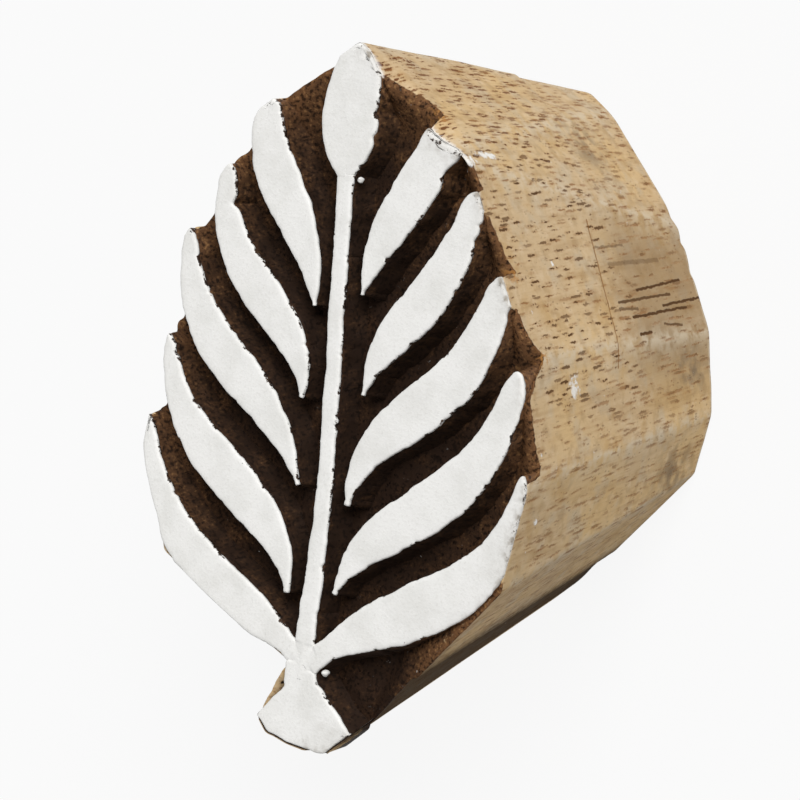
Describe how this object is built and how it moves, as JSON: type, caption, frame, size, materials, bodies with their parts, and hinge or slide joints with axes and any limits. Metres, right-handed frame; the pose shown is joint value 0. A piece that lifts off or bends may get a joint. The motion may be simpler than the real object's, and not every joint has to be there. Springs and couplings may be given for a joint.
{
  "type": "textile printing block",
  "caption": "Hand-carved wooden block for printing on cloth: a faceted, flared hand stamp with a feathery leaf in raised relief, white-coated printing faces and dark-stained grooves.",
  "frame": {"origin": "Middle of the footprint, on the flat back. The block lies on its back, with its printing face up.", "axes": "+Z is the outward normal of the printing face, +Y runs up the leaf from its foot to its bud, and +X is the right-hand half of the leaf as seen from above."},
  "size_m": [0.0518, 0.0776, 0.045],
  "materials": {
    "wood": "sanded bare wood, stained dark in the carved ground",
    "white_coat": "dry matte chalk coat"
  },
  "bodies": {
    "root": {"carved_block": "wood", "stem_coat": "white_coat", "left_coat_1": "white_coat", "left_coat_2": "white_coat", "left_coat_3": "white_coat", "left_coat_4": "white_coat", "right_coat_1": "white_coat", "right_coat_2": "white_coat", "right_coat_3": "white_coat", "right_coat_4": "white_coat"}
  },
  "joints": []
}
